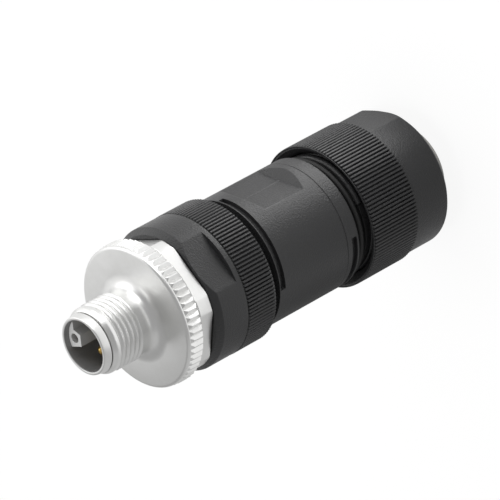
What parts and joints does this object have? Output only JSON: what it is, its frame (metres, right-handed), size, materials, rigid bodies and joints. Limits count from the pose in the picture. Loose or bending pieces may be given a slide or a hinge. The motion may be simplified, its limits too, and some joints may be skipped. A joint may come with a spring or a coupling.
{
  "type": "circular power connector",
  "caption": "Circular cable plug with pins: threaded metal coupling screw, black union collar, sleeve and gland nut, screw terminals inside.",
  "frame": {"origin": "on the axis, at the lowest face, the end of the clamp cage's collar", "axes": "+Z along the axis towards the pins"},
  "size_m": [0.0258, 0.0258, 0.0764],
  "materials": {
    "nickel": "satin nickel plate",
    "nickel_shell": "satin nickel plate",
    "grey_insert": "moulded, matt",
    "gold": "gold plate",
    "black_block": "moulded, matt",
    "rubber_seal": "smooth rubber",
    "black_collar": "moulded, fine texture",
    "black_sleeve": "moulded, fine texture",
    "natural_nylon": "natural, satin",
    "black_nut": "moulded, fine texture",
    "screw_steel": "bright zinc plate"
  },
  "bodies": {
    "sleeve_body": {"sleeve": "black_sleeve", "cable_seal": "rubber_seal", "nut_seal": "rubber_seal"},
    "contact_unit": {"terminal_block": "black_block", "contact_shell": "nickel_shell", "contact_insert": "grey_insert", "contact_pin_1": "gold", "contact_pin_2": "gold", "contact_pin_3": "gold", "earth_contact": "gold", "carrier_seal": "rubber_seal"},
    "collar_ring": {"front_collar": "black_collar"},
    "screw_ring": {"coupling_screw": "nickel"},
    "clamp_unit": {"clamp_cage": "natural_nylon", "thrust_washer": "natural_nylon"},
    "nut_ring": {"gland_nut": "black_nut"},
    "wire_clamp_1": {"terminal_screw_1": "screw_steel", "wire_plate_1": "screw_steel"},
    "wire_clamp_2": {"terminal_screw_2": "screw_steel", "wire_plate_2": "screw_steel"},
    "wire_clamp_3": {"terminal_screw_3": "screw_steel", "wire_plate_3": "screw_steel"},
    "wire_clamp_4": {"terminal_screw_4": "screw_steel", "wire_plate_4": "screw_steel"}
  },
  "joints": [
    {"name": "contact_unit_slide", "type": "slide", "parent": "sleeve_body", "child": "contact_unit", "axis": [0, 0, 1], "range_m": [0, 0.006]},
    {"name": "front_collar_turn", "type": "hinge", "parent": "contact_unit", "child": "collar_ring", "pos_m": [0, 0, 0.05], "axis": [0, 0, 1], "range_deg": [0, 1440]},
    {"name": "coupling_screw_spin", "type": "hinge", "parent": "contact_unit", "child": "screw_ring", "pos_m": [0, 0, 0.065], "axis": [0, 0, 1], "continuous": true},
    {"name": "clamp_slide", "type": "slide", "parent": "sleeve_body", "child": "clamp_unit", "axis": [0, 0, -1], "range_m": [0, 0.0075]},
    {"name": "gland_nut_turn", "type": "hinge", "parent": "clamp_unit", "child": "nut_ring", "pos_m": [0, 0, 0.012], "axis": [0, 0, -1], "range_deg": [0, 1800]},
    {"name": "wire_clamp_slide_1", "type": "slide", "parent": "contact_unit", "child": "wire_clamp_1", "axis": [-0.5878, -0.809, 0], "range_m": [0, 0.0012]},
    {"name": "wire_clamp_slide_2", "type": "slide", "parent": "contact_unit", "child": "wire_clamp_2", "axis": [0.809, -0.5878, 0], "range_m": [0, 0.0012]},
    {"name": "wire_clamp_slide_3", "type": "slide", "parent": "contact_unit", "child": "wire_clamp_3", "axis": [0.5878, 0.809, 0], "range_m": [0, 0.0012]},
    {"name": "wire_clamp_slide_4", "type": "slide", "parent": "contact_unit", "child": "wire_clamp_4", "axis": [-0.809, 0.5878, 0], "range_m": [0, 0.0012]}
  ],
  "couplings": [
    {"joint": "contact_unit_slide", "follows": "front_collar_turn", "m_per_rad": 0.00023873},
    {"joint": "clamp_slide", "follows": "gland_nut_turn", "m_per_rad": 0.00023873}
  ]
}
